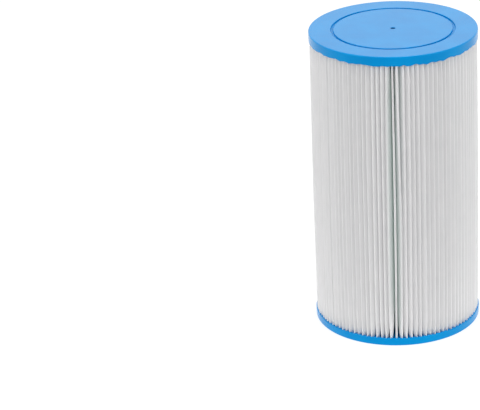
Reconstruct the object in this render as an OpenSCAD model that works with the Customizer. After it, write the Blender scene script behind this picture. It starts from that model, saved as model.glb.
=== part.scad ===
// Pleated spa filter cartridge: a folded polyester sheet around a perforated core tube,
// both potted into a cast end cap at each end. The lower cap is open, the upper one closed.
// The origin is the centre of the lower cap's outer face, and +Z runs up the cartridge's axis.

/* [Cartridge] */
// Outside diameter of both end caps
cap_d = 125; // [110:1:180]
// Overall height over both end caps
overall_h = 230; // [150:1:400]

/* [End caps] */
// Thickness of each cast end cap
cap_t = 7; // [6:0.5:12]
// Depth that the sheet and the core reach into each cap
pot_depth = 4; // [2:0.5:4.5]
// Rounding of the caps' outer edge
cap_edge_r = 0.8; // [0.4:0.1:1.5]
// Diameter of the opening in the lower cap
bore_d = 47.5; // [30:0.5:49]
// Diameter of the mould ring groove, at the middle of its width
ring_d = 90; // [70:1:100]
// Width of the mould ring groove
ring_w = 2; // [1:0.1:3]
// Depth of the mould ring groove
ring_depth = 1.2; // [0.5:0.1:1.5]
// Diameter of the casting gate's dimple in the closed cap
gate_d = 3.5; // [2:0.1:6]
// Depth of the casting gate's dimple
gate_depth = 1.5; // [0.5:0.1:2]

/* [Pleated sheet] */
// Number of pleats around the core, the seam's pleat included
pleat_count = 104; // [60:1:110]
// Thickness of the filter sheet
sheet_t = 0.5; // [0.3:0.05:0.55]
// Width over a pleat where its flanks bow out most
pleat_w = 2.8; // [2:0.1:3]
// Height of a pleat's pointed end, from where it is widest out to its fold
point_h = 2.6; // [1.5:0.1:5]
// Gap from the outer folds in to the caps' edge
fold_margin = 0.8; // [0.6:0.1:4]

/* [Side seam] */
// Thickness of the adhesive strip at the sheet's cut edges
seam_t = 0.4; // [0.3:0.05:0.6]
// How far the cut edges stop short of the other pleats' outer folds
seam_short = 0.8; // [0:0.1:3]
// Width of the adhesive strip, measured inwards from near the cut edges
seam_w = 22; // [6:1:26]

/* [Core tube] */
// Outside diameter of the core tube
core_d = 54; // [53:0.5:60]
// Wall thickness of the core tube
core_wall = 2; // [1.5:0.1:2]
// Number of window columns around the tube
window_columns = 8; // [4:1:10]
// Number of window rows along the tube
window_rows = 13; // [4:1:14]
// Width of a window around the tube
window_w = 12; // [5:0.5:12]
// Height of a window along the tube
window_h = 8; // [4:0.5:8]
// Corner radius of a window
window_r = 1.5; // [0.5:0.5:1.5]

/* [Hidden] */
$fn = 128;
arc_steps = 6;
over = 1;

cap_r = cap_d / 2;
core_r = core_d / 2;
core_bore_r = core_r - core_wall;
core_gap = 0.2;

potted_z = cap_t - pot_depth;
potted_h = overall_h - 2 * potted_z;

pitch = 360 / pleat_count;
inner_fold_r = core_r + core_gap;
outer_fold_r = cap_r - fold_margin;
shoulder_r = outer_fold_r - point_h;
crease_r = 0.2;
crease_sweep = 70;
crease_centre_r = outer_fold_r - sheet_t - crease_r;
valley_r = inner_fold_r + sheet_t;
valley_share = 0.1;
foot_half = valley_r * tan(pitch / 2) * (1 - valley_share);

cut_edge_r = outer_fold_r - seam_short;
strip_setback = 0.5;
strip_top_r = cut_edge_r - strip_setback;
strip_foot_r = strip_top_r - seam_w;

window_pitch = (overall_h - 2 * cap_t) / window_rows;
window_start_r = sqrt(pow(core_bore_r, 2) - pow(window_w / 2, 2)) - over;
window_depth = core_r + over - window_start_r;

// Turns a point of a pleat, given as [out from the axis, sideways], to pleat number i.
// Pleat 0 is the seam's, and it points along -Y.
function on_pleat(i, p) =
    let (a = i * pitch - 90)
    [p.x * cos(a) - p.y * sin(a), p.x * sin(a) + p.y * cos(a)];

// Points of an arc from angle a0 to angle a1 about a centre.
function arc(centre, r, a0, a1, steps = arc_steps) =
    [for (k = [0 : steps]) let (a = a0 + (a1 - a0) * k / steps)
        centre + r * [cos(a), sin(a)]];

// One face of a pleat, from foot to foot: its flanks bow out, then close to a creased fold.
function pleat_face(foot_r, foot, shoulder, fold) =
    let (flank = [[foot_r, foot], [shoulder_r, shoulder]])
    concat(
        flipped(flank),
        arc([crease_centre_r, 0], fold, -crease_sweep, crease_sweep, 3),
        reversed(flank)
    );

// One face of a flat flank that ends at the sheet's cut edge, from foot to edge.
function flank_face(foot_r, foot, edge) = [[foot_r, foot], [cut_edge_r, edge]];

function outer_pleat() = pleat_face(valley_r, foot_half, pleat_w / 2, sheet_t + crease_r);
function inner_pleat() = pleat_face(inner_fold_r, foot_half - sheet_t, pleat_w / 2 - sheet_t, crease_r);
function outer_flank() = flank_face(valley_r, foot_half, seam_t / 2 + sheet_t);
function inner_flank() = flank_face(inner_fold_r, foot_half - sheet_t, seam_t / 2);

function reversed(points) = [for (k = [len(points) - 1 : -1 : 0]) points[k]];
function flipped(points) = [for (p = points) [p.x, -p.y]];

// The sheet's section from one cut edge, through every pleat, to the other cut edge and back.
function sheet_outside() = concat(
    [for (p = reversed(outer_flank())) on_pleat(0, p)],
    [for (i = [1 : pleat_count - 1]) for (p = outer_pleat()) on_pleat(i, p)],
    [for (p = flipped(outer_flank())) on_pleat(pleat_count, p)]
);
function sheet_inside() = concat(
    [for (p = reversed(inner_flank())) on_pleat(0, p)],
    [for (i = [1 : pleat_count - 1]) for (p = inner_pleat()) on_pleat(i, p)],
    [for (p = flipped(inner_flank())) on_pleat(pleat_count, p)]
);

// Half the room between the seam's two flanks at a distance from the axis.
function seam_half_room(r) =
    let (share = (r - inner_fold_r) / (cut_edge_r - inner_fold_r))
    (foot_half - sheet_t) * (1 - share) + seam_t / 2 * share;

module sheet_section() {
    polygon(concat(sheet_outside(), reversed(sheet_inside())));
}

// The strip's face on one of the seam's flanks, from its foot to its top.
function strip_face() = [for (r = [strip_foot_r, strip_top_r]) [r, seam_half_room(r)]];

module strip_section() {
    polygon([for (p = concat(strip_face(), reversed(flipped(strip_face())))) on_pleat(0, p)]);
}

// The sheet and its strip together, as one closed ring around the core.
module potted_section() {
    foot = strip_face()[0];
    top = strip_face()[1];
    cut_edge = [cut_edge_r, seam_t / 2];
    notch = concat(flipped([cut_edge, top]), [top, cut_edge]);
    inside = sheet_inside();
    difference() {
        polygon(concat(sheet_outside(), [for (p = notch) on_pleat(0, p)]));
        polygon(concat(
            [on_pleat(0, foot)],
            [for (k = [1 : len(inside) - 2]) inside[k]],
            [for (p = flipped([foot])) on_pleat(0, p)]
        ));
    }
}

module core_section() {
    difference() {
        circle(r = core_r);
        circle(r = core_bore_r);
    }
}

// A solid disc with its outer face at z = 0 and a rounded edge there.
module cap_disc() {
    rotate_extrude()
        polygon(concat(
            [[0, 0]],
            arc([cap_r - cap_edge_r, cap_edge_r], cap_edge_r, -90, 0),
            [[cap_r, cap_t], [0, cap_t]]
        ));
}

module ring_groove() {
    translate([0, 0, -over])
        difference() {
            cylinder(h = ring_depth + over, d = ring_d + ring_w);
            translate([0, 0, -over])
                cylinder(h = ring_depth + 3 * over, d = ring_d - ring_w);
        }
}

// The cavities that the sheet, its seam strip and the core tube leave in the cast cap.
module potting_cavities() {
    translate([0, 0, potted_z]) {
        linear_extrude(pot_depth + over) potted_section();
        linear_extrude(pot_depth + over) core_section();
    }
}

module cast_cap() {
    difference() {
        cap_disc();
        ring_groove();
        potting_cavities();
    }
}

module open_cap() {
    color("#1c97de")
        difference() {
            cast_cap();
            translate([0, 0, -over])
                cylinder(h = cap_t + 2 * over, d = bore_d);
        }
}

module closed_cap() {
    color("#1c97de")
        translate([0, 0, overall_h])
            mirror([0, 0, 1])
                difference() {
                    cast_cap();
                    translate([0, 0, -over])
                        cylinder(h = gate_depth + over, d = gate_d);
                }
}

// A cut through the tube's wall for one window with round corners, on the seam's side.
module window_cut() {
    half_w = window_w / 2 - window_r;
    half_h = window_h / 2 - window_r;
    rotate([90, 0, 0])
        translate([0, 0, window_start_r])
            union() {
                translate([-window_w / 2, -half_h, 0])
                    cube([window_w, 2 * half_h, window_depth]);
                translate([-half_w, -window_h / 2, 0])
                    cube([2 * half_w, window_h, window_depth]);
                for (x = [-half_w, half_w], y = [-half_h, half_h])
                    translate([x, y, 0])
                        cylinder(h = window_depth, r = window_r, $fn = 24);
            }
}

// The seam lies midway between two columns of windows.
module core_tube() {
    color("#d9d19b")
        difference() {
            translate([0, 0, potted_z])
                linear_extrude(potted_h) core_section();
            for (row = [0 : window_rows - 1], column = [0 : window_columns - 1])
                translate([0, 0, cap_t + (row + 0.5) * window_pitch])
                    rotate((column + 0.5) * 360 / window_columns)
                        window_cut();
        }
}

module pleated_sheet() {
    color("#ececec")
        translate([0, 0, potted_z])
            linear_extrude(potted_h) sheet_section();
}

module seam_strip() {
    color("#c3cbb4")
        translate([0, 0, potted_z])
            linear_extrude(potted_h) strip_section();
}

open_cap();
closed_cap();
core_tube();
pleated_sheet();
seam_strip();
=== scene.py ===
"""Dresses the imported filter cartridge: folded sheet, cast end caps, core tube, side seam, studio."""

import logging
import math
from dataclasses import dataclass, fields, replace
from enum import Enum
from types import SimpleNamespace

import bpy
from mathutils import Matrix, Vector, noise


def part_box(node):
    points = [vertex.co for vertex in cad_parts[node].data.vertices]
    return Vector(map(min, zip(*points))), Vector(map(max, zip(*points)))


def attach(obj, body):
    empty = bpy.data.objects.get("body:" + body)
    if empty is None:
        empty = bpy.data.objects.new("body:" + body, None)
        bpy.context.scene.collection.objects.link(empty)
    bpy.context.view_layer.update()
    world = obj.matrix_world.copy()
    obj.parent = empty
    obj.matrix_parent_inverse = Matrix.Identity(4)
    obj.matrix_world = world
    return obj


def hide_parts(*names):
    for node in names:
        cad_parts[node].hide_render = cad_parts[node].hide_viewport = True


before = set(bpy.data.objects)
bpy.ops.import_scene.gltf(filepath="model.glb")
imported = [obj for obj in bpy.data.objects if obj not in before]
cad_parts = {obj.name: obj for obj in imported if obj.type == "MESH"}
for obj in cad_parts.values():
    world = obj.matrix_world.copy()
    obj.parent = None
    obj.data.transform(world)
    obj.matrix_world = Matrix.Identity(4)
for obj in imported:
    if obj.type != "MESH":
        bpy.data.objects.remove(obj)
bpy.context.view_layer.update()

LOG = logging.getLogger("cartridge")
MM = 0.001
TURN = 2.0 * math.pi
QUARTER_TURN = 0.25 * TURN
BODY = "root"
Colour = tuple[float, float, float]
Point2 = tuple[float, float]
Point3 = tuple[float, float, float]
WHITE: Colour = (1.0, 1.0, 1.0)


class Slot(Enum):
    """Names of the record's material slots for the scene's own pieces, which no piece here is given."""

    CAP = "cap_blue"
    SHEET = "sheet_white"
    STRIP = "seam_glue"


class Node(Enum):
    """The frame's nodes besides the two caps."""

    CORE = "core_tube"
    SHEET = "pleated_sheet"
    STRIP = "seam_strip"


class CapSide(Enum):
    """Which end of the cartridge a cast cap closes, by the name of the frame's node."""

    OPEN = "open_cap"
    CLOSED = "closed_cap"

    @property
    def piece(self) -> str:
        """The name of the cast cap's piece."""
        return f"cast_{self.value}"


@dataclass(frozen=True)
class Sizes:
    """The cartridge's driving sizes, in metres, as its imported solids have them."""

    height: float
    cap_radius: float
    cap_thickness: float
    core_radius: float
    sheet_foot: float
    sheet_height: float
    sheet_radius: float

    @classmethod
    def from_frame(cls) -> "Sizes":
        """Reads the sizes off the boxes of the frame's nodes.

        Returns:
            The sizes.
        """
        cap_low, cap_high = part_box(CapSide.CLOSED.value)
        sheet_low, sheet_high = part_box(Node.SHEET.value)
        return cls(
            height=cap_high.z,
            cap_radius=cap_high.x,
            cap_thickness=cap_high.z - cap_low.z,
            core_radius=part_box(Node.CORE.value)[1].x,
            sheet_foot=sheet_low.z,
            sheet_height=sheet_high.z - sheet_low.z,
            sheet_radius=sheet_high.x,
        )


class Field:
    """A node socket that can be used in a formula: each operation adds a Math node."""

    def __init__(self, graph: "Graph", socket: bpy.types.NodeSocket) -> None:
        """Holds a socket of a graph.

        Args:
            graph: The graph that the socket's node is in.
            socket: The output socket that gives the value.
        """
        self.graph = graph
        self.socket = socket

    def __add__(self, other: "Field | float") -> "Field":
        """This value plus another."""
        return self.graph.maths("ADD", self, other)

    __radd__ = __add__

    def __sub__(self, other: "Field | float") -> "Field":
        """This value less another."""
        return self.graph.maths("SUBTRACT", self, other)

    def __rsub__(self, other: float) -> "Field":
        """Another value less this one."""
        return self.graph.maths("SUBTRACT", other, self)

    def __mul__(self, other: "Field | float") -> "Field":
        """This value times another."""
        return self.graph.maths("MULTIPLY", self, other)

    def __truediv__(self, other: "Field | float") -> "Field":
        """This value divided by another."""
        return self.graph.maths("DIVIDE", self, other)

    def __rtruediv__(self, other: float) -> "Field":
        """Another value divided by this one."""
        return self.graph.maths("DIVIDE", other, self)

    def done(self, operation: str, *others: "Field | float") -> "Field":
        """The value after a named Math operation, such as SINE or POWER."""
        return self.graph.maths(operation, self, *others)

    def near(self, other: float) -> "Field":
        """1 where this value is less than a half away from another, and 0 elsewhere."""
        return (self - other).done("ABSOLUTE").done("LESS_THAN", 0.5)

    def ramp(self, low: "Field | float", high: "Field | float") -> "Field":
        """Rises evenly from 0 where this value is low to 1 where it is high, and stays there."""
        return self.graph.maths("DIVIDE", self - low, high - low, clamp=True)

    def towards(self, other: "Field | float", share: "Field | float") -> "Field":
        """This value moved by a share of the way to another."""
        return self + (other - self) * share

    def eased(self) -> "Field":
        """This value, which runs from 0 to 1, with a soft start and a soft end."""
        return self * self * (3.0 - self * 2.0)


class Graph:
    """Adds nodes to a tree and links them."""

    # A Mix node's colour sockets go by number, because those of its other types have the same names.
    MIX_SHARE, MIX_FIRST, MIX_SECOND, MIX_RESULT = 0, 6, 7, 2

    def __init__(self, tree: bpy.types.NodeTree) -> None:
        """Works on a tree.

        Args:
            tree: A geometry or shader node tree.
        """
        self.tree = tree

    def feed(self, socket: bpy.types.NodeSocket, value: object) -> None:
        """Links a field or socket to an input, or sets the input's own value.

        Args:
            socket: The input.
            value: A Field, an output socket or a plain value, which for a colour has no alpha.
        """
        if isinstance(value, Field):
            value = value.socket
        if isinstance(value, bpy.types.NodeSocket):
            self.tree.links.new(value, socket)
        else:
            socket.default_value = (*value, 1.0) if socket.type == "RGBA" else value

    def node(
        self, kind: str, inputs: dict[str | int, object] | None = None, **settings: object
    ) -> bpy.types.Node:
        """Adds a node.

        Args:
            kind: The node's type name.
            inputs: Values or links by input name or number.
            settings: The node's own properties.

        Returns:
            The new node.
        """
        made = self.tree.nodes.new(kind)
        for name, value in settings.items():
            setattr(made, name, value)
        for key, value in (inputs or {}).items():
            self.feed(made.inputs[key], value)
        return made

    def maths(self, operation: str, *values: Field | float, clamp: bool = False) -> Field:
        """Adds a Math node and gives its result."""
        made = self.node("ShaderNodeMath", dict(enumerate(values)), operation=operation, use_clamp=clamp)
        return Field(self, made.outputs[0])

    def vector(self, x: Field | float, y: Field | float, z: Field | float) -> bpy.types.NodeSocket:
        """Joins three numbers into a vector."""
        return self.node("ShaderNodeCombineXYZ", {0: x, 1: y, 2: z}).outputs[0]

    def split(self, vector: bpy.types.NodeSocket) -> list[Field]:
        """Gives a vector's three numbers."""
        made = self.node("ShaderNodeSeparateXYZ", {0: vector})
        return [Field(self, out) for out in made.outputs]

    def grain(self, vector: bpy.types.NodeSocket, scale: Field | float, detail: float = 2.0) -> Field:
        """Smooth noise from 0 to 1.

        Args:
            vector: Where the noise is read.
            scale: How many features there are in a unit of length.
            detail: How many finer layers are added.

        Returns:
            The noise value.
        """
        made = self.node("ShaderNodeTexNoise", {"Vector": vector, "Scale": scale, "Detail": detail})
        return Field(self, made.outputs[0])

    def blend(self, share: Field | float, first: object, second: object) -> bpy.types.NodeSocket:
        """Mixes two colours.

        Args:
            share: 0 gives the first colour and 1 the second.
            first: A colour or socket.
            second: A colour or socket.

        Returns:
            The mixed colour's socket.
        """
        inputs = {self.MIX_SHARE: share, self.MIX_FIRST: first, self.MIX_SECOND: second}
        return self.node("ShaderNodeMix", inputs, data_type="RGBA").outputs[self.MIX_RESULT]


class ShapeTree(Graph):
    """A Geometry Nodes tree with named inputs, and the values that a piece gives them."""

    def __init__(self, name: str, material: bpy.types.Material) -> None:
        """Starts an empty tree with one Geometry output.

        Args:
            name: The tree's name.
            material: The finish of every face.
        """
        super().__init__(bpy.data.node_groups.new(name, "GeometryNodeTree"))
        self.tree.interface.new_socket("Geometry", in_out="OUTPUT", socket_type="NodeSocketGeometry")
        self.entry = self.tree.nodes.new("NodeGroupInput")
        self.material = material
        self.values: dict[str, object] = {}

    def value(self, name: str, value: float | int) -> Field:
        """Adds a named number input and the value to run it with.

        Args:
            name: The input's name.
            value: The value; a whole number makes a whole-number input.

        Returns:
            The input as a field.
        """
        kind = "NodeSocketInt" if isinstance(value, int) else "NodeSocketFloat"
        made = self.tree.interface.new_socket(name, in_out="INPUT", socket_type=kind)
        self.values[made.identifier] = value
        return Field(self, self.entry.outputs[name])

    def finish(self, geometry: bpy.types.NodeSocket) -> None:
        """Ends the tree in Realize Instances and Set Material.

        Args:
            geometry: The shape so far.
        """
        made = self.tree.interface.new_socket("Finish", in_out="INPUT", socket_type="NodeSocketMaterial")
        self.values[made.identifier] = self.material
        real = self.node("GeometryNodeRealizeInstances", {0: geometry})
        dressed = self.node(
            "GeometryNodeSetMaterial",
            {"Geometry": real.outputs[0], "Material": self.entry.outputs["Finish"]},
        )
        self.node("NodeGroupOutput", {0: dressed.outputs[0]})

    def make(self, name: str, wall: float) -> bpy.types.Object:
        """Runs the tree once, gives the surface a wall and keeps the result as a plain mesh.

        Args:
            name: The piece's name.
            wall: The wall's thickness, half of it on each side of the surface.

        Returns:
            The finished object, at the origin.
        """
        piece = bpy.data.objects.new(name, bpy.data.meshes.new(name))
        bpy.context.scene.collection.objects.link(piece)
        shape = piece.modifiers.new("shape", "NODES")
        shape.node_group = self.tree
        for identifier, value in self.values.items():
            shape[identifier] = value
        thicken = piece.modifiers.new("wall", "SOLIDIFY")
        thicken.thickness = wall
        thicken.offset = 0.0
        depsgraph = bpy.context.evaluated_depsgraph_get()
        mesh = bpy.data.meshes.new_from_object(
            piece.evaluated_get(depsgraph), preserve_all_data_layers=True, depsgraph=depsgraph
        )
        piece.modifiers.clear()
        mesh.materials.clear()
        mesh.materials.append(self.material)
        mesh.polygons.foreach_set("material_index", [0] * len(mesh.polygons))
        mesh.name = name
        piece.data = mesh
        return piece


class SurfaceGroup(Graph):
    """A shader node group with named inputs and outputs, for an effect that several finishes share."""

    def __init__(self, name: str, inputs: tuple[str, ...], outputs: tuple[str, ...]) -> None:
        """Starts the group.

        Args:
            name: The group's name.
            inputs: Names of the number inputs.
            outputs: Names of the number outputs.
        """
        super().__init__(bpy.data.node_groups.new(name, "ShaderNodeTree"))
        face = self.tree.interface
        face.new_socket("Place", in_out="INPUT", socket_type="NodeSocketVector")
        for way, names in (("INPUT", inputs), ("OUTPUT", outputs)):
            for key in names:
                face.new_socket(key, in_out=way, socket_type="NodeSocketFloat")
        self.entry = self.tree.nodes.new("NodeGroupInput")
        self.exit = self.tree.nodes.new("NodeGroupOutput")
        self.place = self.entry.outputs["Place"]

    def read(self, name: str) -> Field:
        """One of the group's inputs as a field."""
        return Field(self, self.entry.outputs[name])

    def give(self, name: str, value: Field) -> None:
        """Links a value to one of the group's outputs."""
        self.feed(self.exit.inputs[name], value)


class MottleGroup(SurfaceGroup):
    """The cloudy variation of a cast or moulded plastic.

    It gives Cloud, a slow variation from 0 to 1, and Peel, the height of a fine skin.
    """

    CLOUD_DETAIL = 4.0
    CLOUD_RANGE = (0.3, 0.7)

    def __init__(self) -> None:
        """Builds the group."""
        super().__init__("moulded_mottle", ("Clouds per Metre", "Pores per Metre"), ("Cloud", "Peel"))
        cloud = self.grain(self.place, self.read("Clouds per Metre"), self.CLOUD_DETAIL)
        self.give("Cloud", cloud.ramp(*self.CLOUD_RANGE))
        self.give("Peel", self.grain(self.place, self.read("Pores per Metre")))


class ScuffGroup(SurfaceGroup):
    """The marks that handling leaves on plastic.

    It gives Spots, a mask of small smudges, and Scratches, a mask of fine slanting streaks.
    """

    DETAIL = 3.0
    # The noise at which a spot starts when the share of spots is 0, and how far a share of 1 lowers it.
    SPOT_START, SPOT_GAIN = 0.76, 0.4
    SPOT_SOFTNESS = 0.12
    # How much closer together the streaks are than they are long, and how they slant.
    STREAK_STRETCH, STREAK_SKEW, STREAK_SLANT = 14.0, 0.35, 4.0
    STREAKS_PER_METRE = 60.0
    STREAK_RANGE = (0.66, 0.76)

    def __init__(self) -> None:
        """Builds the group."""
        super().__init__("handling_scuffs", ("Spots per Metre", "Spot Share"), ("Spots", "Scratches"))
        spots = self.grain(self.place, self.read("Spots per Metre"), self.DETAIL)
        edge = self.SPOT_START - self.read("Spot Share") * self.SPOT_GAIN
        self.give("Spots", spots.ramp(edge, edge + self.SPOT_SOFTNESS))
        x, y, z = self.split(self.place)
        across = y * self.STREAK_STRETCH - x * self.STREAK_SLANT
        slanted = self.vector(x + y * self.STREAK_SKEW, across, z * self.STREAK_STRETCH)
        streaks = self.grain(slanted, self.STREAKS_PER_METRE, self.DETAIL)
        self.give("Scratches", streaks.ramp(*self.STREAK_RANGE))


class FibreGroup(SurfaceGroup):
    """The felted fibres of a spunbonded sheet, which run up the piece and round it.

    It gives Fibres, the height of the fibre mat from 0 to 1, and Density, its slow cloudiness.
    """

    # The noise's scale along the fibres that run up, and along those that run round, with 1 across them.
    UP_STRETCH, ROUND_STRETCH = 0.16, 0.3
    # How far the noise is shifted along the fibres, in metres, and how often that changes.
    SHIFT, SHIFTS_PER_METRE = 0.004, 220.0
    SHIFT_DETAIL = 1.0
    FIBRE_RANGE = (0.42, 0.75)
    DENSITY_PER_METRE = 110.0
    DENSITY_DETAIL = 3.0
    DENSITY_RANGE = (0.32, 0.68)

    def __init__(self) -> None:
        """Builds the group."""
        super().__init__("spunbond_fibres", ("Fibres per Metre",), ("Fibres", "Density"))
        rate = self.read("Fibres per Metre")
        x, y, z = self.split(self.place)
        shift = (self.grain(self.place, self.SHIFTS_PER_METRE, self.SHIFT_DETAIL) - 0.5) * self.SHIFT
        up = self.grain(self.vector(x, y, z * self.UP_STRETCH + shift), rate)
        round_place = self.vector(x * self.ROUND_STRETCH + shift, y * self.ROUND_STRETCH, z)
        strands = up.done("MAXIMUM", self.grain(round_place, rate))
        self.give("Fibres", strands.ramp(*self.FIBRE_RANGE))
        density = self.grain(self.place, self.DENSITY_PER_METRE, self.DENSITY_DETAIL)
        self.give("Density", density.ramp(*self.DENSITY_RANGE))


class Groups:
    """The shared shader groups, each built once."""

    def __init__(self) -> None:
        """Builds every group."""
        self.mottle = MottleGroup().tree
        self.scuffs = ScuffGroup().tree
        self.fibres = FibreGroup().tree


class FinishGraph(Graph):
    """A new material with its Principled shader, ready for a finish to fill in."""

    def __init__(self, name: str) -> None:
        """Makes the material.

        Args:
            name: The material's name.
        """
        self.material = bpy.data.materials.new(name)
        self.material.use_nodes = True
        super().__init__(self.material.node_tree)
        self.shader = self.tree.nodes["Principled BSDF"]
        self.place = self.node("ShaderNodeTexCoord").outputs["Object"]

    def group(self, tree: bpy.types.NodeTree, **values: float) -> dict[str, Field]:
        """Places a shared group that reads Object coordinates.

        Args:
            tree: The group.
            values: Its inputs, named with _ for a space.

        Returns:
            Its outputs by name.
        """
        inputs = {key.replace("_", " "): value for key, value in values.items()}
        made = self.node("ShaderNodeGroup", node_tree=tree)
        for key, value in {"Place": self.place, **inputs}.items():
            self.feed(made.inputs[key], value)
        return {out.name: Field(self, out) for out in made.outputs}

    def attribute(self, name: str) -> Field:
        """A number that the piece's mesh carries."""
        return Field(self, self.node("ShaderNodeAttribute", attribute_name=name).outputs["Fac"])

    def bump(self, height: Field, distance: float, strength: float) -> None:
        """Feeds a height to the shader's normal.

        Args:
            height: The height, from 0 to 1.
            distance: How far 1 stands proud, in metres.
            strength: How much of it shows.
        """
        made = self.node("ShaderNodeBump", {"Height": height, "Distance": distance, "Strength": strength})
        self.feed(self.shader.inputs["Normal"], made.outputs["Normal"])

    def surface(self, **values: object) -> bpy.types.Material:
        """Fills the shader's sockets.

        Args:
            values: What each socket gets, named with _ for a space.

        Returns:
            The finished material.
        """
        for key, value in values.items():
            self.feed(self.shader.inputs[key.replace("_", " ")], value)
        return self.material


@dataclass(frozen=True)
class CastPolyurethane:
    """The caps' cast polyurethane: satin blue with a slight cloud, handling marks and painted shade in its
    dull recesses.

    Here and in the other finishes, a colour's share is how much of it shows at its strongest, and a
    value per metre is how close together a pattern's features are.
    """

    deep: Colour = (0.0, 0.236, 0.645)
    pale: Colour = (0.0, 0.278, 0.71)
    smudge: Colour = (0.0, 0.18, 0.55)
    streak: Colour = (0.03, 0.36, 0.82)
    # Painted shade: the dark blue that the groove and the gate's dimple are darkened towards.
    recess: Colour = (0.0, 0.09, 0.29)
    sheen: Colour = (0.08, 1.0, 1.0)
    clouds_per_metre: float = 45.0
    pores_per_metre: float = 1400.0
    smudges_per_metre: float = 26.0
    smudged_area: float = 0.25
    smudge_share: float = 0.3
    streak_share: float = 0.18
    roughness: float = 0.16
    cloud_roughness: float = 0.04
    streak_roughness: float = 0.05
    smudge_roughness: float = 0.06
    recess_roughness: float = 0.9
    dull_from_recess: float = 0.2
    skin_height: float = 0.04 * MM
    skin_strength: float = 0.35
    streak_depth: float = 0.4
    refraction: float = 1.5

    def make(self, groups: Groups) -> bpy.types.Material:
        """Builds the material.

        Args:
            groups: The shared shader groups.

        Returns:
            The material.
        """
        look = FinishGraph("cast_polyurethane")
        mottle = look.group(
            groups.mottle, Clouds_per_Metre=self.clouds_per_metre, Pores_per_Metre=self.pores_per_metre
        )
        scuffs = look.group(
            groups.scuffs, Spots_per_Metre=self.smudges_per_metre, Spot_Share=self.smudged_area
        )
        cloud, streaks, smudges = mottle["Cloud"], scuffs["Scratches"], scuffs["Spots"]
        # How much painted shade each corner of the cap carries; the same mask also dulls the finish.
        recess = look.attribute("recess")
        colour = look.blend(cloud, self.deep, self.pale)
        colour = look.blend(smudges * self.smudge_share, colour, self.smudge)
        colour = look.blend(streaks * self.streak_share, colour, self.streak)
        colour = look.blend(recess, colour, self.recess)
        rough = self.roughness + cloud * self.cloud_roughness
        rough = rough + streaks * self.streak_roughness + smudges * self.smudge_roughness
        rough = rough.towards(self.recess_roughness, recess.ramp(0.0, self.dull_from_recess))
        look.bump(mottle["Peel"] - streaks * self.streak_depth, self.skin_height, self.skin_strength)
        return look.surface(
            Base_Color=colour, Roughness=rough, IOR=self.refraction, Specular_Tint=self.sheen
        )


@dataclass(frozen=True)
class SpunbondPolyester:
    """The folded sheet's white fibre mat, with glue at the seam, green painted shade beside it and painted
    light on its cut edges.
    """

    thin: Colour = (0.845, 0.845, 0.853)
    thick: Colour = (0.875, 0.871, 0.876)
    # Painted light: the near-white that the seam's cut edges are lightened towards.
    frayed: Colour = (0.97, 0.965, 0.97)
    # The glue's green: glue at the fin, and painted shade deep in the flanks that lie open to the seam.
    glued: Colour = (0.66, 0.755, 0.72)
    fibres_per_metre: float = 2600.0
    density_share: float = 0.6
    glue_share: float = 0.8
    roughness: float = 0.85
    fibre_roughness: float = 0.1
    fibre_height: float = 0.03 * MM
    fibre_strength: float = 0.6
    scatter_weight: float = 0.5
    scatter_depth: float = 1.2 * MM
    gloss: float = 0.25

    def make(self, groups: Groups) -> bpy.types.Material:
        """Builds the material.

        Args:
            groups: The shared shader groups.

        Returns:
            The material.
        """
        look = FinishGraph("spunbond_polyester")
        mat = look.group(groups.fibres, Fibres_per_Metre=self.fibres_per_metre)
        body = mat["Fibres"].towards(mat["Density"], self.density_share)
        colour = look.blend(body, self.thin, self.thick)
        # Painted light on the outer part of the seam's fin.
        colour = look.blend(look.attribute("fray"), colour, self.frayed)
        # Glue showing through at the fin, and green painted shade deep in the open flanks beside it.
        colour = look.blend(look.attribute("glue") * self.glue_share, colour, self.glued)
        look.bump(mat["Fibres"], self.fibre_height, self.fibre_strength)
        return look.surface(
            Base_Color=colour,
            Roughness=self.roughness + mat["Fibres"] * self.fibre_roughness,
            Subsurface_Weight=self.scatter_weight,
            Subsurface_Radius=WHITE,
            Subsurface_Scale=self.scatter_depth,
            Specular_IOR_Level=self.gloss,
        )


@dataclass(frozen=True)
class MouldedCore:
    """The core tube's cream moulded plastic."""

    deep: Colour = (0.60, 0.52, 0.27)
    pale: Colour = (0.70, 0.63, 0.38)
    scratch: Colour = (0.8, 0.77, 0.6)
    clouds_per_metre: float = 60.0
    pores_per_metre: float = 1100.0
    spots_per_metre: float = 120.0
    spotted_area: float = 0.1
    scratch_share: float = 0.2
    roughness: float = 0.42
    cloud_roughness: float = 0.08
    spot_roughness: float = 0.1
    skin_height: float = 0.04 * MM
    skin_strength: float = 0.4
    refraction: float = 1.5

    def make(self, groups: Groups) -> bpy.types.Material:
        """Builds the material.

        Args:
            groups: The shared shader groups.

        Returns:
            The material.
        """
        look = FinishGraph("moulded_core")
        mottle = look.group(
            groups.mottle, Clouds_per_Metre=self.clouds_per_metre, Pores_per_Metre=self.pores_per_metre
        )
        scuffs = look.group(
            groups.scuffs, Spots_per_Metre=self.spots_per_metre, Spot_Share=self.spotted_area
        )
        colour = look.blend(mottle["Cloud"], self.deep, self.pale)
        colour = look.blend(scuffs["Scratches"] * self.scratch_share, colour, self.scratch)
        rough = self.roughness + mottle["Cloud"] * self.cloud_roughness
        rough = rough + scuffs["Spots"] * self.spot_roughness
        look.bump(mottle["Peel"], self.skin_height, self.skin_strength)
        return look.surface(Base_Color=colour, Roughness=rough, IOR=self.refraction)


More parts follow.
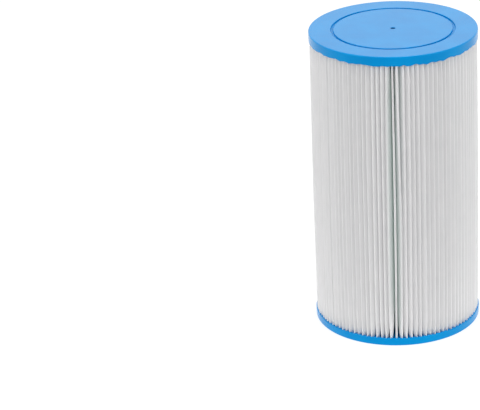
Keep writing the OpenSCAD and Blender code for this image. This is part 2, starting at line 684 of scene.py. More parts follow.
@dataclass(frozen=True)
class SeamGlue:
    """The adhesive strip in the side seam, with fibres of the sheet caught in it."""

    deep: Colour = (0.6, 0.66, 0.57)
    pale: Colour = (0.76, 0.79, 0.71)
    clouds_per_metre: float = 150.0
    pores_per_metre: float = 800.0
    fibres_per_metre: float = 900.0
    fibre_share: float = 0.3
    roughness: float = 0.4
    cloud_roughness: float = 0.15
    skin_height: float = 0.06 * MM
    skin_strength: float = 0.5

    def make(self, groups: Groups) -> bpy.types.Material:
        """Builds the material.

        Args:
            groups: The shared shader groups.

        Returns:
            The material.
        """
        look = FinishGraph("seam_adhesive")
        mottle = look.group(
            groups.mottle, Clouds_per_Metre=self.clouds_per_metre, Pores_per_Metre=self.pores_per_metre
        )
        mat = look.group(groups.fibres, Fibres_per_Metre=self.fibres_per_metre)
        body = mottle["Cloud"].towards(mat["Fibres"], self.fibre_share)
        colour = look.blend(body, self.deep, self.pale)
        look.bump(mottle["Peel"] + mat["Fibres"], self.skin_height, self.skin_strength)
        rough = self.roughness + mottle["Cloud"] * self.cloud_roughness
        return look.surface(Base_Color=colour, Roughness=rough)


@dataclass(frozen=True)
class PleatValues:
    """The inputs of the sheet's node tree: counts, lengths in metres, shares, and angles in radians.

    A pleat's nose is its pointed outer end. What is called spread is how far the pleats differ from
    each other, and what is called wander is how far each one differs along its own height.
    """

    foot_z: float
    height: float
    inner_fold_radius: float
    outer_fold_radius: float
    cut_edge_radius: float
    pleats: int = 104
    points_per_pleat: int = 16
    rows: int = 22
    row_crowding: float = 0.6
    foot_half_width: float = 0.5 * MM
    foot_rise: float = 0.35 * MM
    half_width_at_open_cap: float = 0.85 * MM
    half_width_at_closed_cap: float = 1.4 * MM
    half_width_between: float = 1.47 * MM
    half_width_spread: float = 0.05
    nose_at_open_cap: float = 2.7 * MM
    nose_at_closed_cap: float = 3.4 * MM
    nose_between: float = 2.85 * MM
    nose_wander: float = 0.4
    pinch_length: float = 15.0 * MM
    bulge: float = 0.5 * MM
    bulge_wander: float = 0.5 * MM
    reach_spread: float = 0.5 * MM
    ridge_spread: float = 1.2 * MM
    ridge_wander: float = 1.2 * MM
    lean_at_open_cap: float = math.radians(0.8)
    lean_at_closed_cap: float = math.radians(0.2)
    lean_wander: float = math.radians(0.35)
    slope_from_seam: float = 0.75 * MM
    slope_pleats: float = 12.0
    shove_from_seam: float = 0.9 * MM
    opening_width: float = 0.75 * MM
    opening_depth: float = 3.8 * MM
    opening_hook: float = 0.6
    opening_length: float = 21.0 * MM
    slit_length: float = 14.0 * MM
    blade_narrowing: float = 0.9 * MM
    blade_shift: float = -0.8 * MM
    fin_height: float = 7.0 * MM
    fin_spread_height: float = 3.0 * MM
    fin_root_share: float = 0.8
    fin_half_width: float = 0.45 * MM
    cut_edge_half_width: float = 0.42 * MM
    fin_bow: float = 0.55 * MM
    seam_angle: float = -QUARTER_TURN
    seed: float = 7.0


@dataclass(frozen=True)
class PleatPlace:
    """Where a point of the flat grid lies.

    index counts the pleats, and the seam's is the first and the last. side runs from -1 to 1 across a
    pleat, fold from 0 at its inner folds to 1 at its outer fold, flank from 0 at its foot to 1 at its
    shoulder, fin from 0 to 1 along the seam's fin, and climb from 0 at the open cap to 1 at the closed
    one. free is 0 at the caps and 1 halfway. away is 1 on the pleats after the seam and -1 on those
    before it, and facing is 1 on the flanks that face the seam.
    """

    index: Field
    side: Field
    fold: Field
    flank: Field
    fin: Field
    climb: Field
    free: Field
    z: Field
    from_cap: Field
    from_seam: Field
    is_seam: Field
    away: Field
    facing: Field


@dataclass(frozen=True)
class PleatForm:
    """How a pleat stands at one height: its sizes, how it lies, and how far it lies open to the seam."""

    half_width: Field
    nose: Field
    reach: Field
    edge: Field
    ridge: Field
    lean: Field
    lie_open: Field


@dataclass(frozen=True)
class PleatOutline:
    """A pleat in its own plane.

    out is the distance from the axis, aside the distance from the pleat's middle, and rise runs from 0
    to 1 up the pleat's outer end.
    """

    out: Field
    aside: Field
    rise: Field

    def towards(self, other: "PleatOutline", share: Field) -> "PleatOutline":
        """This outline moved by a share of the way to another."""
        pairs = ((self.out, other.out), (self.aside, other.aside), (self.rise, other.rise))
        return PleatOutline(*(mine.towards(its, share) for mine, its in pairs))


class PleatTree(ShapeTree):
    """The node tree that folds a flat grid into pleats, with the sheet's two cut edges at the seam."""

    # Where the stretches of half a pleat end, as shares of the way from its inner fold to its outer one.
    FOOT_END, SHOULDER, FIN_START = 1 / 8, 1 / 2, 3 / 4
    # Where an open-lying flank hooks out, as a share of the way from its foot to its shoulder.
    HOOK = 2 / 3
    # The powers by which a pleat's end narrows and the seam's fin rises.
    TAPER, FIN_RISE = 1.1, 0.25
    # Stretches of the fin: where its glue fades, where it narrows, and where its cut edge is painted
    # lighter.
    GLUE_FADE, NARROWING, FRAYING = (0.05, 0.35), (0.5, 1.0), (0.2, 0.8)
    # How strongly a flank that lies open is darkened towards the glue's green: partly glue, partly painted
    # shade.
    OPEN_GLUE = 0.9
    # The stretch of the height over which the blade comes to stand, and how far that closes the pleat.
    UPRIGHT, BLADE_CLOSING = (0.45, 0.95), 0.5
    # How much of the ridges' slope away from the seam is left at the caps.
    SLOPE_AT_CAPS = 0.5
    # Two slow noises: their steps from pleat to pleat and in a metre of height, and where they start.
    DRIFT, SWELL = (0.6, 5.0, 0.0), (0.8, 8.0, 40.0)
    # The steps of the random numbers from pleat to pleat and from draw to draw.
    PLEAT_STEP, DRAW_STEP = 1.37, 53.1
    # The random draws, one for each thing in which the pleats differ.
    WIDTH_DRAW, REACH_DRAW, SWAY_DRAW = 0, 1, 2
    # Keeps a pleat's first points from being rounded down to the pleat before it.
    ROUNDING = 1e-5

    def __init__(self, values: PleatValues, material: bpy.types.Material) -> None:
        """Builds the whole tree.

        Args:
            values: The tree's inputs.
            material: The sheet's finish.
        """
        super().__init__("pleated_sheet_shape", material)
        self.v = SimpleNamespace()
        for entry in fields(values):
            name = entry.name.replace("_", " ").title()
            setattr(self.v, entry.name, self.value(name, getattr(values, entry.name)))
        self.place = self.find_place()
        self.fold_grid(self.stand_at_seam(self.stand()))

    def find_place(self) -> PleatPlace:
        """Works out where each point of the grid lies, with its rows crowded towards the caps.

        Returns:
            Where the points lie.
        """
        v = self.v
        across, up, _ = self.split(self.node("GeometryNodeInputPosition").outputs[0])
        count = (across + 0.5) * v.pleats + 0.5
        index = (count + self.ROUNDING).done("FLOOR")
        side = (count - index) * 2.0 - 1.0
        fold = 1.0 - side.done("ABSOLUTE")
        row = up + 0.5
        climb = row - (row * TURN).done("SINE") * v.row_crowding / TURN
        from_seam = self.maths("MINIMUM", index, v.pleats - index)
        away = (v.pleats * 0.5 - index).done("SIGN")
        return PleatPlace(
            index=index,
            side=side,
            fold=fold,
            flank=fold.ramp(self.FOOT_END, self.SHOULDER),
            fin=fold.ramp(self.FIN_START, 1.0),
            climb=climb,
            free=(climb * math.pi).done("SINE"),
            z=v.foot_z + v.height * climb,
            from_cap=self.maths("MINIMUM", climb, 1.0 - climb) * v.height,
            from_seam=from_seam,
            is_seam=from_seam.near(0.0),
            away=away,
            facing=(side * away).done("LESS_THAN", 0.0),
        )

    def chance(self, draw: int) -> Field:
        """A random number for each pleat.

        Args:
            draw: Which of the draws this is.

        Returns:
            The number, from -0.5 to 0.5.
        """
        at = self.place.index * self.PLEAT_STEP + self.v.seed + draw * self.DRAW_STEP
        made = self.node("ShaderNodeTexWhiteNoise", {"W": at}, noise_dimensions="1D")
        return Field(self, made.outputs[0]) - 0.5

    def wander(self, steps: Point3) -> Field:
        """A slow noise from pleat to pleat and up each pleat.

        Args:
            steps: The noise's steps from pleat to pleat and in a metre of height, and where it starts.

        Returns:
            The noise, from -0.5 to 0.5.
        """
        round_step, up_step, start = steps
        at = self.vector(self.place.index * round_step + start, self.place.z * up_step, self.v.seed)
        return self.grain(at, 1.0, detail=1.0) - 0.5

    def stand(self) -> PleatForm:
        """Works out how the pleats stand, pinched at the caps and each a little different.

        Returns:
            The pleats' forms, without what the seam does to them.
        """
        v, place = self.v, self.place
        drift, swell = self.wander(self.DRIFT), self.wander(self.SWELL)
        sway = self.chance(self.SWAY_DRAW)
        upper = place.climb.done("GREATER_THAN", 0.5)
        unpinched = (place.from_cap / v.pinch_length).done("MINIMUM", 1.0).eased()
        half_width = v.half_width_at_open_cap.towards(v.half_width_at_closed_cap, upper)
        half_width = half_width.towards(v.half_width_between, unpinched)
        nose = v.nose_at_open_cap.towards(v.nose_at_closed_cap, upper).towards(v.nose_between, unpinched)
        lean = v.lean_at_open_cap.towards(v.lean_at_closed_cap, upper)
        bulge = (v.bulge + swell * v.bulge_wander) * place.free

        # Ridges slope away from the seam, and the seam's stiff fin shoves its neighbours further.
        slope = ((1.0 - place.from_seam) / v.slope_pleats).done("EXPONENT") * v.slope_from_seam
        slope = slope * (unpinched * (1.0 - self.SLOPE_AT_CAPS) + self.SLOPE_AT_CAPS)
        shove = (1.0 - place.from_seam).done("EXPONENT") * place.free * v.shove_from_seam
        ridge = (sway * v.ridge_spread + drift * v.ridge_wander) * unpinched
        width_spread = self.chance(self.WIDTH_DRAW) * v.half_width_spread
        reach_spread = self.chance(self.REACH_DRAW) * v.reach_spread
        return PleatForm(
            half_width=half_width * (width_spread + 1.0),
            nose=nose * (swell * v.nose_wander + 1.0),
            reach=v.outer_fold_radius + reach_spread + bulge,
            edge=v.cut_edge_radius + v.bulge * place.free,
            ridge=ridge + (slope + shove) * place.away,
            lean=sway * lean * (1.0 - unpinched) + drift * v.lean_wander * place.free,
            lie_open=place.from_seam.near(1.0) * place.facing,
        )

    def stand_at_seam(self, form: PleatForm) -> PleatForm:
        """Lays the seam's neighbours open towards it.

        Before the seam a slit stays closed at the open cap. After it, towards the closed cap, the first
        pleat stands up as a thin blade, and the second lies open instead.

        Args:
            form: The pleats' forms so far.

        Returns:
            The pleats' forms at the seam as well.
        """
        v, place = self.v, self.place
        slit = place.away.done("LESS_THAN", 0.0) * place.climb.done("LESS_THAN", 0.5) * v.slit_length
        lie_open = form.lie_open * place.from_cap.ramp(slit, slit + v.opening_length)
        upright = place.climb.ramp(*self.UPRIGHT)
        blade = place.index.near(1.0) * upright
        lie_open = lie_open * (1.0 - blade * self.BLADE_CLOSING)
        lie_open = lie_open + place.index.near(2.0) * place.facing * upright
        narrowing = blade * (1.0 - place.facing) * v.blade_narrowing
        return replace(
            form,
            half_width=form.half_width - narrowing,
            nose=form.nose + lie_open * v.opening_depth,
            ridge=form.ridge.towards(v.blade_shift, blade).towards(v.fin_bow * place.free, place.is_seam),
            lean=form.lean * (1.0 - place.is_seam),
            lie_open=lie_open,
        )

    def fold_pleat(self, form: PleatForm) -> PleatOutline:
        """Folds a pleat, with a sharp fold at its outer end.

        A flank that lies open hooks in under its shoulder, so it stays clear of the seam's own flanks.

        Args:
            form: The pleats' forms.

        Returns:
            The pleat's outline.
        """
        v, place = self.v, self.place
        rise = (place.fold.ramp(self.SHOULDER, 1.0) * QUARTER_TURN).done("SINE")
        taper = (1.0 - rise).done("MAXIMUM", 0.0).done("POWER", self.TAPER)
        hooked = place.flank.done("POWER", 1.0 - form.lie_open * v.opening_hook)
        foot = v.inner_fold_radius + v.foot_rise
        spread = form.lie_open * place.flank.ramp(self.HOOK, 1.0) * v.opening_width
        return PleatOutline(
            out=foot.towards(form.reach - form.nose, hooked) + form.nose * rise,
            aside=(v.foot_half_width.towards(form.half_width, place.flank) + spread) * taper,
            rise=rise,
        )

    def fold_fin(self, form: PleatForm) -> PleatOutline:
        """Folds the seam's pleat, whose flanks come together into a thin fin up to the sheet's cut edges.

        Args:
            form: The pleats' forms.

        Returns:
            The fin's outline.
        """
        v, place = self.v, self.place
        close = place.fold.ramp(self.SHOULDER, self.FIN_START)
        rise = place.fin.done("POWER", self.FIN_RISE)
        foot = v.inner_fold_radius + v.foot_rise
        shoulder = form.edge - v.fin_height - v.fin_spread_height
        aside = v.foot_half_width.towards(form.half_width * v.fin_root_share, place.flank)
        aside = aside.towards(v.fin_half_width, close)
        return PleatOutline(
            out=foot.towards(shoulder, place.flank) + v.fin_spread_height * close + v.fin_height * rise,
            aside=aside.towards(v.cut_edge_half_width, place.fin.ramp(*self.NARROWING)),
            rise=rise,
        )

    def fold_grid(self, form: PleatForm) -> None:
        """Folds every pleat, sets them round the core and marks where glue, painted shade and painted light
        show.

        Args:
            form: The pleats' forms.
        """
        v, place = self.v, self.place
        outline = self.fold_pleat(form).towards(self.fold_fin(form), place.is_seam)

        # The inner folds lie level on the core from one pleat to the next.
        lowered = 1.0 - place.fold.ramp(0.0, self.FOOT_END)
        half_pitch = v.inner_fold_radius * (math.pi / v.pleats).done("TANGENT")
        out = outline.out - lowered * v.foot_rise
        aside = (outline.aside + lowered * (half_pitch - v.foot_half_width)) * place.side.done("SIGN")

        aside = aside + form.ridge * outline.rise
        depth = out.ramp(v.inner_fold_radius, v.outer_fold_radius)
        angle = v.seam_angle + place.index * (TURN / v.pleats) + form.lean * depth
        cosine, sine = angle.done("COSINE"), angle.done("SINE")
        folded = self.vector(out * cosine - aside * sine, out * sine + aside * cosine, place.z)
        fin_glue = place.is_seam * (1.0 - place.fin.ramp(*self.GLUE_FADE))
        # Painted shade, green like the glue, deep in the flanks that lie open to the seam.
        flank_painted_shade = form.lie_open * (1.0 - outline.rise) * self.OPEN_GLUE
        # Painted light: the fin's outer part, up to its cut edges, is marked to be lightened.
        fray = place.is_seam * place.fin.ramp(*self.FRAYING)
        self.make_sheet(folded, {"glue": fin_glue + flank_painted_shade, "fray": fray})

    def make_sheet(self, folded: bpy.types.NodeSocket, marks: dict[str, Field]) -> None:
        """Makes the grid, folds it and ends the tree.

        Both inputs are worked out on the flat grid, so the marks are stored before it is folded.

        Args:
            folded: Where the grid's points go.
            marks: Numbers that the finish reads, by name.
        """
        v = self.v
        counts = {"Vertices X": v.pleats * v.points_per_pleat + 1.0, "Vertices Y": v.rows + 1.0}
        grid = self.node("GeometryNodeMeshGrid", {"Size X": 1.0, "Size Y": 1.0, **counts})
        sheet = grid.outputs["Mesh"]
        for name, mark in marks.items():
            inputs = {"Geometry": sheet, "Name": name, "Value": mark}
            marked = self.node("GeometryNodeStoreNamedAttribute", inputs, data_type="FLOAT", domain="POINT")
            sheet = marked.outputs[0]
        sheet = self.node("GeometryNodeSetPosition", {"Geometry": sheet, "Position": folded}).outputs[0]
        self.finish(self.node("GeometryNodeSetShadeSmooth", {"Geometry": sheet}).outputs[0])


def as_piece(mesh: bpy.types.Mesh, material: bpy.types.Material) -> bpy.types.Object:
    """Gives a mesh its finish and makes it an object of the scene.

    Args:
        mesh: The mesh.
        material: Its finish.

    Returns:
        The object, with the mesh's name.
    """
    mesh.materials.append(material)
    piece = bpy.data.objects.new(mesh.name, mesh)
    bpy.context.scene.collection.objects.link(piece)
    return piece


def put_in_frame(piece: bpy.types.Object, node: str) -> bpy.types.Object:
    """Puts a piece in the frame, in the place of a node.

    Args:
        piece: The piece.
        node: The frame's node that it stands for.

    Returns:
        The piece.
    """
    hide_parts(node)
    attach(piece, BODY)
    return piece


@dataclass(frozen=True)
class PleatedSheet:
    """The filter sheet, folded into pleats round the core and potted into both caps."""

    sizes: Sizes
    thickness: float = 0.5 * MM
    core_gap: float = 0.2 * MM
    fold_setback: float = 0.1 * MM
    edge_setback: float = 0.05 * MM

    def values(self) -> PleatValues:
        """Fits the sheet's middle surface to the solids.

        Returns:
            The node tree's inputs.
        """
        return PleatValues(
            foot_z=self.sizes.sheet_foot,
            height=self.sizes.sheet_height,
            inner_fold_radius=self.sizes.core_radius + self.core_gap + self.thickness / 2,
            outer_fold_radius=self.sizes.sheet_radius - self.fold_setback,
            cut_edge_radius=self.sizes.sheet_radius - self.edge_setback,
        )

    def flat_size(self) -> Point2:
        """Works out the sheet's size before it was folded.

        Returns:
            Its width and its height, in metres.
        """
        v = self.values()
        flank = v.outer_fold_radius - v.inner_fold_radius
        return v.pleats * (2.0 * flank + v.half_width_between + 2.0 * v.foot_half_width), v.height

    def build(self, material: bpy.types.Material) -> bpy.types.Object:
        """Makes the sheet and puts it in the frame.

        Args:
            material: The sheet's finish.

        Returns:
            The piece.
        """
        piece = PleatTree(self.values(), material).make("folded_sheet", wall=self.thickness)
        put_in_frame(piece, Node.SHEET.value)
        self.flat_size()
        return piece


@dataclass(frozen=True)
class SeamStrip:
    """The adhesive strip between the sheet's cut edges, which follows the fin it lies in."""

    sheet: PleatedSheet
    rows: int = 24

    def section(self, foot: float, top: float, climb: float) -> list[Point2]:
        """The strip's section at one height, bowed sideways with the fin.

        Args:
            foot: The strip's inner edge, as a distance from the axis.
            top: Its outer edge.
            climb: The height, from 0 at the open cap to 1 at the closed one.

        Returns:
            The section's corners, as distances aside and out from the axis.
        """
        v = self.sheet.values()
        half = v.fin_half_width - self.sheet.thickness / 2
        free = math.sin(math.pi * climb)
        root = v.cut_edge_radius + v.bulge * free - v.fin_height
        bow = v.fin_bow * free * (top - root) / v.fin_height
        middle = [(0.0, foot), (0.0, root), (bow, top)]
        left = [(aside - half, out) for aside, out in middle]
        return left + [(aside + half, out) for aside, out in reversed(middle)]

    def mesh(self) -> bpy.types.Mesh:
        """Makes the strip's closed mesh, section by section up its height.

        Returns:
            The mesh.
        """
        low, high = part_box(Node.STRIP.value)
        corners: list[Point3] = []
        for row in range(self.rows + 1):
            climb = row / self.rows
            z = low.z + (high.z - low.z) * climb
            corners += [(aside, -out, z) for aside, out in self.section(-high.y, -low.y, climb)]
        size = len(corners) // (self.rows + 1)
        first = list(range(size))
        faces = [first[::-1], [len(corners) - size + i for i in first]]
        for start in range(0, size * self.rows, size):
            for i in first:
                j = (i + 1) % size
                faces.append([start + i, start + j, start + size + j, start + size + i])
        mesh = bpy.data.meshes.new("glued_seam_strip")
        mesh.from_pydata(corners, [], faces)
        mesh.validate()
        return mesh

    def build(self, material: bpy.types.Material) -> bpy.types.Object:
        """Makes the strip and puts it in the frame.

        Args:
            material: The strip's finish.

        Returns:
            The piece.
        """
        return put_in_frame(as_piece(self.mesh(), material), Node.STRIP.value)


@dataclass(frozen=True)
class SectionPoint:
    """A point of a cap's section: its radius, its depth below the outer face, and two marks.

    One mark is the painted shade, which darkens and dulls the finish there; the other, wave, is the lip's
    waviness there.
    """

    radius: float
    depth: float
    recess: float = 0.0
    wave: float = 0.0


def corner(centre: Point2, size: float, start: float, end: float, steps: int = 3) -> list[SectionPoint]:
    """Points of a round corner in a cap's section.

    Args:
        centre: The arc's centre, as radius and depth.
        size: The arc's radius.
        start: First angle in degrees.
        end: Last angle in degrees.
        steps: Number of steps.

    Returns:
        The arc's points.
    """
    turns = [math.radians(start + (end - start) * k / steps) for k in range(steps + 1)]
    return [SectionPoint(centre[0] + size * math.cos(a), centre[1] + size * math.sin(a)) for a in turns]


def flat(*radii: float) -> list[SectionPoint]:
    """Points of the flat outer face in a cap's section."""
    return [SectionPoint(radius, 0.0) for radius in radii]


@dataclass(frozen=True)
class LipWave:
    """A layer of the lip's waviness: how close its waves are, where its noise starts, and its share."""

    closeness: float
    start: Point3
    share: float


@dataclass(frozen=True)
class CastCap:
    """One of the two end caps, turned from its section, with the cast's uneven inner lip.

    What is called round is an edge's radius, what is called apron is the width of the strip of points
    beside an edge that keeps the face there flat, and what is called shade is the painted shade in a
    recess.
    """

    # In an edge's radii: how far from it its apron starts, and how deep in it a recess's painted shade
    # starts.
    APRON_START, SHADE_START = 1.2, 0.4

    side: CapSide
    sizes: Sizes
    bore_radius: float = 23.75 * MM
    bore_round: float = 0.5 * MM
    bore_apron: float = 2.5 * MM
    bore_rows: int = 4
    ring_radius: float = 45.0 * MM
    ring_width: float = 2.0 * MM
    ring_depth: float = 1.2 * MM
    ring_round: float = 0.4 * MM
    ring_apron: float = 2.4 * MM
    # How much painted shade the groove's walls and its floor get.
    ring_wall_shade: float = 0.2
    ring_floor_shade: float = 0.06
    gate_radius: float = 1.75 * MM
    gate_depth: float = 1.5 * MM
    gate_round: float = 0.3 * MM
    gate_apron: float = 1.5 * MM
    # How much painted shade the gate's dimple gets.
    gate_shade: float = 0.85
    edge_round: float = 0.8 * MM
    edge_apron: float = 3.2 * MM
    lip_round: float = 0.45 * MM
    lip_apron: float = 1.125 * MM
    lip_width: float = 1.5 * MM
    lip_waves: tuple[LipWave, ...] = (
        LipWave(5.0, (3.1, 0.0, 1.7), 0.7),
        LipWave(16.0, (0.0, 7.3, 4.2), 0.9),
    )
    closed_lip_wave: float = 1.05 * MM
    open_lip_wave: float = 0.42 * MM
    open_lip_drop: float = 1.2 * MM
    dish: float = 1.8 * MM
    dish_margin: float = 3.0 * MM
    core_margin: float = 1.0 * MM
    segments: int = 624

    @property
    def closed(self) -> bool:
        """Whether this is the closed cap."""
        return self.side is CapSide.CLOSED

    def ring(self) -> list[SectionPoint]:
        """Draws the mould ring's groove, with round edges and painted shade, darker on its walls than on
        its floor.

        Returns:
            Its section, from the inside outwards.
        """
        soft, floor = self.ring_round, self.ring_depth
        apron, shade = self.APRON_START * soft, self.SHADE_START * soft
        low, high = self.ring_radius - self.ring_width / 2, self.ring_radius + self.ring_width / 2
        points = flat(low - self.ring_apron, low - apron)
        points += corner((low - soft, soft), soft, -90, 0)
        points += corner((low + soft, floor - soft), soft, 180, 90)
        points += corner((high - soft, floor - soft), soft, 90, 0)
        points += corner((high + soft, soft), soft, 180, 270)
        points += flat(high + apron, high + self.ring_apron)
        # Painted shade: the groove's walls are darkened more than its floor, from a little way down its
        # round edges.
        wall, bottom = self.ring_wall_shade, self.ring_floor_shade
        shades = [bottom if p.depth > floor - shade else wall for p in points]
        return [replace(p, recess=s) if p.depth > shade else p for p, s in zip(points, shades)]

    def gate(self) -> list[SectionPoint]:
        """Draws the casting gate's dimple, darkened with painted shade.

        Returns:
            Its section, from the axis outwards.
        """
        soft, rim, floor = self.gate_round, self.gate_radius, self.gate_depth
        shade = self.SHADE_START * soft
        points = [SectionPoint(0.0, floor), SectionPoint(rim - 2 * soft, floor)]
        points += corner((rim - soft, floor - soft), soft, 90, 0)
        points += corner((rim + soft, soft), soft, 180, 270)
        points += flat(rim + self.APRON_START * soft, rim + self.gate_apron)
        # Painted shade in the dimple, from a little way down its round edge.
        return [replace(p, recess=self.gate_shade) if p.depth > shade else p for p in points]

    def bore(self) -> list[SectionPoint]:
        """Draws the bore's wall.

        Returns:
            Its section, from the inner face to the outer one.
        """
        soft, bore, thickness = self.bore_round, self.bore_radius, self.sizes.cap_thickness
        points = corner((bore + soft, thickness - soft), soft, 90, 180)
        rows = range(self.bore_rows - 1, 0, -1)
        points += [SectionPoint(bore, thickness * row / self.bore_rows) for row in rows]
        points += corner((bore + soft, soft), soft, 180, 270, steps=4)
        return points + flat(bore + self.APRON_START * soft, bore + self.bore_apron)

    def rim(self) -> list[SectionPoint]:
        """Draws the cap's rim.

        Returns:
            Its section, from the outer face round to the wavy inner lip.
        """
        radius, edge, lip = self.sizes.cap_radius, self.edge_round, self.lip_round
        top = self.sizes.cap_thickness - (0.0 if self.closed else self.open_lip_drop)
        points = flat(radius - self.edge_apron, radius - self.APRON_START * edge)
        points += corner((radius - edge, edge), edge, -90, 0, steps=7)
        points += [SectionPoint(radius, z) for z in (self.APRON_START * edge, self.sizes.cap_thickness / 2)]
        crest = [SectionPoint(radius, top - z) for z in (self.lip_apron, self.APRON_START * lip)]
        crest += corner((radius - lip, top - lip), lip, 0, 90, steps=5)
        crest += [SectionPoint(radius - self.lip_width, top)]
        return points + [replace(p, wave=1.0) for p in crest]

    def section(self) -> list[SectionPoint]:
        """Draws the whole cap.

        Returns:
            Its section, over the outer face and the rim to the dished inner face.
        """
        inner, core = self.sizes.cap_thickness, self.sizes.core_radius
        pool = inner - self.dish
        points = (self.gate() if self.closed else self.bore()) + self.ring() + self.rim()
        points += [SectionPoint(self.sizes.cap_radius - self.dish_margin, pool)]
        points += [SectionPoint(core + self.core_margin, pool), SectionPoint(core, inner)]
        last = 0.0 if self.closed else self.bore_radius + self.core_margin
        return points + [SectionPoint(last, inner)]

    def lip_height(self, angle: float) -> float:
        """How far the cast crept along the pleats at an angle round the lip.

        Args:
            angle: Angle round the axis, in radians.

        Returns:
            Extra depth of the lip, in metres.
        """
        at = Vector((math.cos(angle), math.sin(angle), 0.0))
        waves = [w.share * noise.noise(at * w.closeness + Vector(w.start)) for w in self.lip_waves]
        return (self.closed_lip_wave if self.closed else self.open_lip_wave) * sum(waves)

    def rings(self) -> tuple[list[Point3], list[float], list[list[int]]]:
        """Turns the section round the axis.

        Returns:
            The corners, how much painted shade each has, and the corners' numbers round each section point.
        """
        angles = [TURN * s / self.segments for s in range(self.segments)]
        waves = [self.lip_height(a) for a in angles]
        corners: list[Point3] = []
        recess: list[float] = []
        rings: list[list[int]] = []
        for point in self.section():
            count = 1 if point.radius == 0.0 else self.segments
            rings.append(list(range(len(corners), len(corners) + count)))
            recess += [point.recess] * count
            for a, wave in zip(angles[:count], waves):
                depth = point.depth + point.wave * wave
                z = self.sizes.height - depth if self.closed else depth
                corners.append((point.radius * math.cos(a), point.radius * math.sin(a), z))
        return corners, recess, rings

    def mesh(self) -> bpy.types.Mesh:
        """Makes the cap's closed mesh.

        Returns:
            The mesh, which carries each corner's painted shade.
        """
        corners, recess, rings = self.rings()
        pairs = list(zip(rings, rings[1:]))
        if not self.closed:
            pairs.append((rings[-1], rings[0]))
        faces: list[list[int]] = []
        for near, far in pairs:
            for s in range(self.segments):
                here, there = (ring[s % len(ring)] for ring in (near, far))
                next_here, next_there = (ring[(s + 1) % len(ring)] for ring in (near, far))
                face = list(dict.fromkeys((here, next_here, next_there, there)))
                faces.append(face[::-1] if self.closed else face)
        mesh = bpy.data.meshes.new(self.side.piece)
        mesh.from_pydata(corners, [], faces)
        mesh.shade_smooth()
        mesh.validate()
        # The painted shade, which the cap's finish reads.
        mesh.attributes.new("recess", "FLOAT", "POINT").data.foreach_set("value", recess)
        return mesh

    def build(self, material: bpy.types.Material) -> bpy.types.Object:
        """Makes the cap and puts it in the frame.

        Args:
            material: The cap's finish.

        Returns:
            The piece.
        """
        return put_in_frame(as_piece(self.mesh(), material), self.side.value)


@dataclass(frozen=True)
class CoreTube:
    """The windowed core tube, whose solid already has the right shape."""

    solid: bpy.types.Object

    def build(self, material: bpy.types.Material) -> bpy.types.Object:
        """Gives the tube its finish.

        Args:
            material: The tube's finish.

        Returns:
            The piece.
        """
        self.solid.data.materials.clear()
        self.solid.data.materials.append(material)
        return self.solid


@dataclass(frozen=True)
class SoftBox:
    """A soft lamp: where it stands and its width and height, in metres, and its power in watts."""

    name: str
    place: Point3
    size: Point2
    power: float


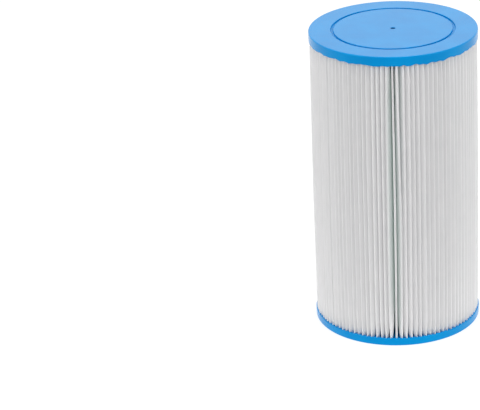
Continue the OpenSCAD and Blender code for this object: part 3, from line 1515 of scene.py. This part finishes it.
@dataclass(frozen=True)
class Studio:
    """White floor, soft lamps and the camera, whose angles are in degrees."""

    sizes: Sizes
    lens: float = 186.541
    sensor: float = 36.0
    distance: float = 1.88111
    azimuth: float = 1.0
    elevation: float = 22.6952
    roll: float = -1.0072
    pan: float = 3.572
    tilt: float = -0.7562
    ambient: float = 0.58
    # Painted bounce light: the floor's glow for lighting rays near the object and far off, and the pool's
    # radius.
    near_painted_bounce: float = 1.02
    far_painted_bounce: float = 0.55
    painted_pool_radius: float = 0.3
    floor_half: float = 6.0
    floor_grey: float = 0.34
    floor_glow: float = 0.76
    max_bounces: int = 16
    diffuse_bounces: int = 12
    boxes: tuple[SoftBox, ...] = (
        SoftBox("left_box", (-1.1, -0.75, 0.75), (0.7, 1.1), 5.8),
        SoftBox("right_box", (1.15, -0.65, 0.7), (0.7, 1.1), 5.8),
        SoftBox("back_box", (0.0, 2.0, 0.95), (3.6, 1.9), 5.0),
        SoftBox("top_box", (0.0, 0.0, 1.5), (1.0, 1.0), 6.4),
    )

    @property
    def target(self) -> Vector:
        """The middle of the cartridge, which the camera and the lamps face."""
        return Vector((0.0, 0.0, self.sizes.height / 2))

    def camera(self) -> None:
        """Sets up the camera where the photograph was taken from."""
        data = bpy.data.cameras.new("camera")
        data.lens = self.lens
        data.sensor_width = self.sensor
        camera = bpy.data.objects.new("camera", data)
        a, e = math.radians(self.azimuth), math.radians(self.elevation)
        back = Vector((math.sin(a) * math.cos(e), -math.cos(a) * math.cos(e), math.sin(e)))
        turned = back.to_track_quat("Z", "Y").to_matrix()
        for angle, axis in ((self.roll, "Z"), (self.pan, "Y"), (self.tilt, "X")):
            turned = turned @ Matrix.Rotation(math.radians(angle), 3, axis)
        camera.matrix_world = Matrix.Translation(self.target + back * self.distance) @ turned.to_4x4()
        bpy.context.scene.collection.objects.link(camera)
        bpy.context.scene.camera = camera

    def lamp(self, box: SoftBox) -> None:
        """Adds a soft box that faces the object.

        Args:
            box: The lamp's place, size and power.
        """
        data = bpy.data.lights.new(box.name, "AREA")
        data.shape = "RECTANGLE"
        data.size, data.size_y = box.size
        data.energy = box.power
        lamp = bpy.data.objects.new(box.name, data)
        at = Vector(box.place)
        turn = (at - self.target).to_track_quat("Z", "Y")
        lamp.matrix_world = Matrix.Translation(at) @ turn.to_matrix().to_4x4()
        lamp.visible_camera = False
        bpy.context.scene.collection.objects.link(lamp)

    def seen(self, graph: Graph) -> Field:
        """Tells the rays that show a surface as it looks, in the image or in a reflection, from light.

        Args:
            graph: The graph of the floor's material or of the world.

        Returns:
            1 for those rays and 0 for others.
        """
        path = graph.node("ShaderNodeLightPath")
        camera, glossy, through = (
            Field(graph, path.outputs[f"Is {kind} Ray"]) for kind in ("Camera", "Glossy", "Transmission")
        )
        return camera.done("MAXIMUM", glossy).done("MAXIMUM", through)

    def floor_material(self) -> bpy.types.Material:
        """Builds the white floor's material, which is see-through from below.

        To lighting rays the floor does not reflect but glows with painted bounce light, a painted pool
        that is strongest near the object, where the lamps point.

        Returns:
            The material.
        """
        material = bpy.data.materials.new("studio_floor")
        material.use_nodes = True
        g = Graph(material.node_tree)
        g.tree.nodes.remove(g.tree.nodes["Principled BSDF"])
        shade = g.node("ShaderNodeBsdfDiffuse", {"Color": (self.floor_grey,) * 3})
        glow = g.node("ShaderNodeEmission", {"Color": WHITE, "Strength": self.floor_glow})
        shown = g.node("ShaderNodeAddShader", {0: shade.outputs[0], 1: glow.outputs[0]})
        x, y, _ = g.split(g.node("ShaderNodeTexCoord").outputs["Object"])
        spread = (x * x + y * y) / (self.painted_pool_radius * self.painted_pool_radius)
        # Painted light: a pool of glow, strongest near the object, that lights it from the floor.
        painted_pool = self.far_painted_bounce + (self.near_painted_bounce - self.far_painted_bounce) / (spread + 1.0)
        painted_bounce = g.node("ShaderNodeEmission", {"Color": WHITE, "Strength": painted_pool})
        both = g.node("ShaderNodeMixShader", {0: self.seen(g), 1: painted_bounce.outputs[0], 2: shown.outputs[0]})
        behind = g.node("ShaderNodeNewGeometry").outputs["Backfacing"]
        clear = g.node("ShaderNodeBsdfTransparent")
        sided = g.node("ShaderNodeMixShader", {0: behind, 1: both.outputs[0], 2: clear.outputs[0]})
        g.feed(g.tree.nodes["Material Output"].inputs["Surface"], sided.outputs[0])
        return material

    def floor(self) -> None:
        """Adds the white floor, which keeps the object's soft shadow."""
        half = self.floor_half
        mesh = bpy.data.meshes.new("floor")
        corners = [(-half, -half, 0.0), (half, -half, 0.0), (half, half, 0.0), (-half, half, 0.0)]
        mesh.from_pydata(corners, [], [(0, 1, 2, 3)])
        mesh.materials.append(self.floor_material())
        floor = bpy.data.objects.new("floor", mesh)
        bpy.context.scene.collection.objects.link(floor)

    def world(self) -> None:
        """Makes the surroundings white to look at and softer as a light."""
        world = bpy.data.worlds.new("studio")
        world.use_nodes = True
        bpy.context.scene.world = world
        g = Graph(world.node_tree)
        back = g.tree.nodes["Background"]
        g.feed(back.inputs["Color"], WHITE)
        g.feed(back.inputs["Strength"], self.ambient + self.seen(g) * (1.0 - self.ambient))

    def build(self) -> None:
        """Sets up the whole studio."""
        self.camera()
        self.floor()
        self.world()
        for box in self.boxes:
            self.lamp(box)
        bpy.context.scene.cycles.max_bounces = self.max_bounces
        bpy.context.scene.cycles.diffuse_bounces = self.diffuse_bounces
        bpy.context.scene.view_settings.view_transform = "Standard"


def main() -> None:
    """Builds every piece in order and reports it."""
    logging.basicConfig(level=logging.INFO, format="%(name)s: %(message)s")
    sizes = Sizes.from_frame()
    Studio(sizes).build()
    groups = Groups()
    polyurethane = CastPolyurethane().make(groups)
    pieces = [CastCap(side, sizes).build(polyurethane) for side in CapSide]
    sheet = PleatedSheet(sizes)
    pieces.append(SeamStrip(sheet).build(SeamGlue().make(groups)))
    pieces.append(sheet.build(SpunbondPolyester().make(groups)))
    pieces.append(CoreTube(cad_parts[Node.CORE.value]).build(MouldedCore().make(groups)))
    for piece in pieces:
        piece.data.calc_loop_triangles()
        LOG.info("%s: %d triangles", piece.name, len(piece.data.loop_triangles))


if __name__ == "__main__":
    main()
